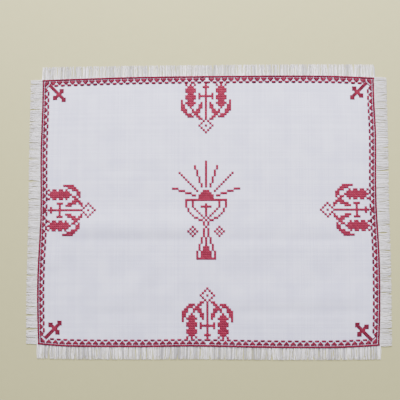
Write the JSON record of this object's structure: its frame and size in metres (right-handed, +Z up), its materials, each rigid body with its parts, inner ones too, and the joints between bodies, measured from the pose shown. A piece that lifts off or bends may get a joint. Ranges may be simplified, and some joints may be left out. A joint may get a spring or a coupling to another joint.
{
  "type": "easter basket cover",
  "caption": "Flat rectangular cotton cloth with a drawn-thread fringe on all four sides and red cross-stitch, to lay over a basket of food.",
  "frame": {"origin": "middle of the underside, on the surface that the cloth lies on", "axes": "+X along the long sides, +Y across the cloth towards its top edge, +Z up from the surface"},
  "size_m": [0.4566, 0.373, 0.0035],
  "materials": {
    "evenweave_cotton": "matte",
    "fringe_threads": "matte",
    "red_stranded_cotton": "satin"
  },
  "bodies": {
    "root": {"cloth": "evenweave_cotton", "fringe_top": "fringe_threads", "fringe_bottom": "fringe_threads", "fringe_left": "fringe_threads", "fringe_right": "fringe_threads"}
  },
  "joints": []
}
